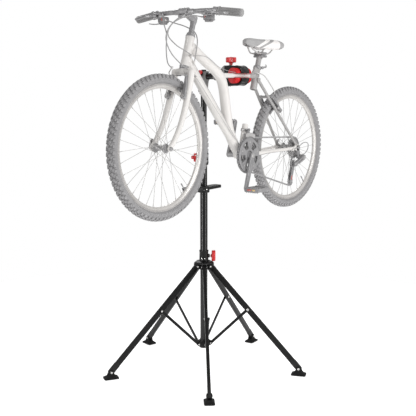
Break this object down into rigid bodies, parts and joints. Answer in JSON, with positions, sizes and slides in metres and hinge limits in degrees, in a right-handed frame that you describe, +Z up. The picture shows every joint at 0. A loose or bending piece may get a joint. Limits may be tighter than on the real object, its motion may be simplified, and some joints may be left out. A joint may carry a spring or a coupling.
{
  "type": "bicycle on repair stand",
  "caption": "Hardtail mountain bicycle gripped by its frame in a folding repair stand with splayed braced legs, a telescoping mast, a tool tray and a padded screw clamp.",
  "frame": {"origin": "middle of the bounding box's underside, on the floor", "axes": "+Z up, the bicycle faces -X, its drive side faces -Y and the mast is on its +Y side"},
  "size_m": [1.723, 1.1006, 1.87],
  "materials": {
    "mast_paint": "glossy black powder coat",
    "black_paint": "semi-gloss black powder coat",
    "black_plastic": "moulded black nylon",
    "cast_grey": "grey coated casting",
    "red_plastic": "moulded red plastic",
    "red_rubber": "soft red rubber",
    "foot_rubber": "moulded black rubber",
    "white_paint": "off-white gloss paint over aluminium",
    "tyre_rubber": "pale grey knobbly rubber",
    "rim_alloy": "pale satin alloy",
    "grey_metal": "mid-grey coated alloy",
    "grey_plastic": "mid-grey moulded plastic",
    "grip_rubber": "ribbed pale grey rubber",
    "saddle_cover": "grey and off-white padded cover",
    "steel": "plain steel"
  },
  "bodies": {
    "mast": {"lower_mast": "mast_paint", "lower_hub": "black_plastic", "middle_mast": "mast_paint", "mast_collar": "black_plastic", "tool_tray": "black_plastic"},
    "crown": {"crown": "black_plastic"},
    "crown_knob": {"crown_knob": "red_plastic"},
    "collar_knob": {"mast_collar_knob": "red_plastic"},
    "upper": {"upper_mast": "mast_paint", "mast_head": "black_plastic"},
    "head_knob": {"head_knob": "red_plastic"},
    "arm": {"clamp_arm": "cast_grey", "jaw_lower": "black_plastic", "pad_lower": "red_rubber"},
    "jaw_upper": {"jaw_upper": "black_plastic", "pad_upper": "red_rubber"},
    "jaw_knob": {"jaw_knob": "red_plastic"},
    "bike": {"frame": "white_paint", "rear_derailleur": "grey_metal", "chain": "steel"},
    "seat": {"seatpost": "grey_metal", "saddle": "saddle_cover"},
    "steering": {"fork": "white_paint", "stem": "grey_metal", "handlebar": "grey_metal", "grip_left": "grip_rubber", "grip_right": "grip_rubber", "lever_mount_left": "grey_plastic", "lever_mount_right": "grey_plastic", "control_cables": "grey_plastic"},
    "front_wheel": {"front_tyre": "tyre_rubber", "front_wheel": "rim_alloy"},
    "rear_wheel": {"rear_tyre": "tyre_rubber", "rear_wheel": "rim_alloy", "cassette": "steel"},
    "crankset": {"crankset": "grey_metal"},
    "near_pedal": {"near_pedal": "grey_plastic"},
    "far_pedal": {"far_pedal": "grey_plastic"},
    "cage": {"derailleur_cage": "grey_metal"},
    "lever_left": {"brake_lever_left": "grey_metal"},
    "lever_right": {"brake_lever_right": "grey_metal"},
    "front_arm_left": {"front_brake_arm_left": "grey_metal"},
    "front_arm_right": {"front_brake_arm_right": "grey_metal"},
    "rear_arm_left": {"rear_brake_arm_left": "grey_metal"},
    "rear_arm_right": {"rear_brake_arm_right": "grey_metal"},
    "leg_1": {"leg_1": "black_paint"},
    "brace_1": {"brace_1": "black_paint"},
    "foot_1": {"foot_1": "foot_rubber"},
    "leg_2": {"leg_2": "black_paint"},
    "brace_2": {"brace_2": "black_paint"},
    "foot_2": {"foot_2": "foot_rubber"},
    "leg_3": {"leg_3": "black_paint"},
    "brace_3": {"brace_3": "black_paint"},
    "foot_3": {"foot_3": "foot_rubber"},
    "leg_4": {"leg_4": "black_paint"},
    "brace_4": {"brace_4": "black_paint"},
    "foot_4": {"foot_4": "foot_rubber"},
    "leg_5": {"leg_5": "black_paint"},
    "brace_5": {"brace_5": "black_paint"},
    "foot_5": {"foot_5": "foot_rubber"}
  },
  "joints": [
    {"name": "crown_slide", "type": "slide", "parent": "mast", "child": "crown", "axis": [0, 0, 1], "range_m": [0, 0.152]},
    {"name": "leg_1_hinge", "type": "hinge", "parent": "crown", "child": "leg_1", "pos_m": [0.04922, -0.02873, 0.563], "axis": [0.6607, -0.7507, 0], "range_deg": [0, 30.5]},
    {"name": "brace_1_hinge", "type": "hinge", "parent": "mast", "child": "brace_1", "pos_m": [0.05147, -0.02675, 0.133], "axis": [0.6607, -0.7507, 0], "range_deg": [-32.32, 0]},
    {"name": "foot_1_hinge", "type": "hinge", "parent": "leg_1", "child": "foot_1", "pos_m": [-0.31336, -0.34783, 0.035], "axis": [0.6607, -0.7507, 0], "range_deg": [-30.5, 0]},
    {"name": "leg_2_hinge", "type": "hinge", "parent": "crown", "child": "leg_2", "pos_m": [0.09396, -0.03877, 0.563], "axis": [0.9181, 0.3963, 0], "range_deg": [0, 30.5]},
    {"name": "brace_2_hinge", "type": "hinge", "parent": "mast", "child": "brace_2", "pos_m": [0.09277, -0.03601, 0.133], "axis": [0.9181, 0.3963, 0], "range_deg": [-32.32, 0]},
    {"name": "foot_2_hinge", "type": "hinge", "parent": "leg_2", "child": "foot_2", "pos_m": [0.28539, -0.48221, 0.035], "axis": [0.9181, 0.3963, 0], "range_deg": [-30.5, 0]},
    {"name": "leg_3_hinge", "type": "hinge", "parent": "crown", "child": "leg_3", "pos_m": [0.11733, 0.00067, 0.563], "axis": [-0.0932, 0.9956, 0], "range_deg": [0, 30.5]},
    {"name": "brace_3_hinge", "type": "hinge", "parent": "mast", "child": "brace_3", "pos_m": [0.11434, 0.00039, 0.133], "axis": [-0.0932, 0.9956, 0], "range_deg": [-32.32, 0]},
    {"name": "foot_3_hinge", "type": "hinge", "parent": "leg_3", "child": "foot_3", "pos_m": [0.59823, 0.04571, 0.035], "axis": [-0.0932, 0.9956, 0], "range_deg": [-30.5, 0]},
    {"name": "leg_4_hinge", "type": "hinge", "parent": "crown", "child": "leg_4", "pos_m": [0.08704, 0.03509, 0.563], "axis": [-0.9757, 0.219, 0], "range_deg": [0, 30.5]},
    {"name": "brace_4_hinge", "type": "hinge", "parent": "mast", "child": "brace_4", "pos_m": [0.08638, 0.03216, 0.133], "axis": [-0.9757, 0.219, 0], "range_deg": [-32.32, 0]},
    {"name": "foot_4_hinge", "type": "hinge", "parent": "leg_4", "child": "foot_4", "pos_m": [0.19281, 0.50636, 0.035], "axis": [-0.9757, 0.219, 0], "range_deg": [-30.5, 0]},
    {"name": "leg_5_hinge", "type": "hinge", "parent": "crown", "child": "leg_5", "pos_m": [0.04495, 0.01692, 0.563], "axis": [-0.5098, -0.8603, 0], "range_deg": [0, 30.5]},
    {"name": "brace_5_hinge", "type": "hinge", "parent": "mast", "child": "brace_5", "pos_m": [0.04753, 0.01539, 0.133], "axis": [-0.5098, -0.8603, 0], "range_deg": [-32.32, 0]},
    {"name": "foot_5_hinge", "type": "hinge", "parent": "leg_5", "child": "foot_5", "pos_m": [-0.37057, 0.26315, 0.035], "axis": [-0.5098, -0.8603, 0], "range_deg": [-30.5, 0]},
    {"name": "crown_knob_turn", "type": "hinge", "parent": "crown", "child": "crown_knob", "pos_m": [0.10313, -0.03448, 0.618], "axis": [0.6157, -0.788, 0], "continuous": true},
    {"name": "collar_knob_turn", "type": "hinge", "parent": "mast", "child": "collar_knob", "pos_m": [0.05387, 0.02856, 1.147], "axis": [-0.6157, 0.788, 0], "continuous": true},
    {"name": "mast_slide", "type": "slide", "parent": "mast", "child": "upper", "axis": [0, 0, 1], "range_m": [-0.15, 0.28]},
    {"name": "head_knob_turn", "type": "hinge", "parent": "upper", "child": "head_knob", "pos_m": [0.0285, -0.00296, 1.58], "axis": [-1, 0, 0], "continuous": true},
    {"name": "arm_turn", "type": "hinge", "parent": "upper", "child": "arm", "pos_m": [0.0785, -0.00296, 1.57], "axis": [0, 1, 0], "range_deg": [-15, 15]},
    {"name": "jaw_slide", "type": "slide", "parent": "arm", "child": "jaw_upper", "axis": [0, 0, 1], "range_m": [0, 0.0119]},
    {"name": "jaw_knob_turn", "type": "hinge", "parent": "jaw_upper", "child": "jaw_knob", "pos_m": [0.0785, -0.17896, 1.64], "axis": [0, 0, 1], "range_deg": [0, 1080]},
    {"name": "bike_release", "type": "slide", "parent": "arm", "child": "bike", "axis": [0, -1, 0], "range_m": [0, 0.25]},
    {"name": "steering", "type": "hinge", "parent": "bike", "child": "steering", "pos_m": [-0.3595, -0.23796, 1.608], "axis": [0.3109, 0, 0.9505], "range_deg": [-35, 35], "deforming": ["control_cables"]},
    {"name": "front_wheel_spin", "type": "hinge", "parent": "steering", "child": "front_wheel", "pos_m": [-0.5285, -0.23796, 1.241], "axis": [0, 1, 0], "continuous": true},
    {"name": "rear_wheel_spin", "type": "hinge", "parent": "bike", "child": "rear_wheel", "pos_m": [0.5285, -0.23796, 1.186], "axis": [0, 1, 0], "continuous": true},
    {"name": "crank_spin", "type": "hinge", "parent": "bike", "child": "crankset", "pos_m": [0.0835, -0.23796, 1.172], "axis": [0, 1, 0], "continuous": true, "deforming": ["chain"]},
    {"name": "near_pedal_spin", "type": "hinge", "parent": "crankset", "child": "near_pedal", "pos_m": [0.03097, -0.36796, 1.01032], "axis": [0, 1, 0], "continuous": true},
    {"name": "far_pedal_spin", "type": "hinge", "parent": "crankset", "child": "far_pedal", "pos_m": [0.13603, -0.10796, 1.33368], "axis": [0, 1, 0], "continuous": true},
    {"name": "cage_swing", "type": "hinge", "parent": "bike", "child": "cage", "pos_m": [0.5305, -0.27096, 1.096], "axis": [0, 1, 0], "range_deg": [-8, 20], "stiffness_Nm_per_rad": 1.5},
    {"name": "seatpost_slide", "type": "slide", "parent": "bike", "child": "seat", "axis": [0.3015, 0, 0.9535], "range_m": [-0.02, 0.06]},
    {"name": "lever_left_pull", "type": "hinge", "parent": "steering", "child": "lever_left", "pos_m": [-0.3915, -0.38996, 1.838], "axis": [0, 0, 1], "range_deg": [0, 12], "stiffness_Nm_per_rad": 4},
    {"name": "lever_right_pull", "type": "hinge", "parent": "steering", "child": "lever_right", "pos_m": [-0.3915, -0.08596, 1.838], "axis": [0, 0, -1], "range_deg": [0, 12], "stiffness_Nm_per_rad": 4},
    {"name": "front_arm_left_close", "type": "hinge", "parent": "steering", "child": "front_arm_left", "pos_m": [-0.4025, -0.28496, 1.466], "axis": [-0.9474, 0, 0.3201], "range_deg": [0, 4.6]},
    {"name": "front_arm_right_close", "type": "hinge", "parent": "steering", "child": "front_arm_right", "pos_m": [-0.4025, -0.19096, 1.466], "axis": [0.9474, 0, -0.3201], "range_deg": [0, 4.6]},
    {"name": "rear_arm_left_close", "type": "hinge", "parent": "bike", "child": "rear_arm_left", "pos_m": [0.3575, -0.27996, 1.377], "axis": [-0.7479, 0, -0.6639], "range_deg": [0, 4.6]},
    {"name": "rear_arm_right_close", "type": "hinge", "parent": "bike", "child": "rear_arm_right", "pos_m": [0.3575, -0.19596, 1.377], "axis": [0.7479, 0, 0.6639], "range_deg": [0, 4.6]}
  ],
  "couplings": [
    {"joint": "leg_1_hinge", "follows": "crown_slide", "rad_per_m": 3.4966},
    {"joint": "brace_1_hinge", "follows": "crown_slide", "rad_per_m": -3.7055},
    {"joint": "foot_1_hinge", "follows": "crown_slide", "rad_per_m": -3.4966},
    {"joint": "leg_2_hinge", "follows": "crown_slide", "rad_per_m": 3.4966},
    {"joint": "brace_2_hinge", "follows": "crown_slide", "rad_per_m": -3.7055},
    {"joint": "foot_2_hinge", "follows": "crown_slide", "rad_per_m": -3.4966},
    {"joint": "leg_3_hinge", "follows": "crown_slide", "rad_per_m": 3.4966},
    {"joint": "brace_3_hinge", "follows": "crown_slide", "rad_per_m": -3.7055},
    {"joint": "foot_3_hinge", "follows": "crown_slide", "rad_per_m": -3.4966},
    {"joint": "leg_4_hinge", "follows": "crown_slide", "rad_per_m": 3.4966},
    {"joint": "brace_4_hinge", "follows": "crown_slide", "rad_per_m": -3.7055},
    {"joint": "foot_4_hinge", "follows": "crown_slide", "rad_per_m": -3.4966},
    {"joint": "leg_5_hinge", "follows": "crown_slide", "rad_per_m": 3.4966},
    {"joint": "brace_5_hinge", "follows": "crown_slide", "rad_per_m": -3.7055},
    {"joint": "foot_5_hinge", "follows": "crown_slide", "rad_per_m": -3.4966},
    {"joint": "jaw_knob_turn", "follows": "jaw_slide", "rad_per_m": 1570.8},
    {"joint": "front_arm_left_close", "follows": "lever_right_pull", "ratio": 0.375},
    {"joint": "front_arm_right_close", "follows": "lever_right_pull", "ratio": 0.375},
    {"joint": "rear_arm_left_close", "follows": "lever_left_pull", "ratio": 0.375},
    {"joint": "rear_arm_right_close", "follows": "lever_left_pull", "ratio": 0.375}
  ]
}
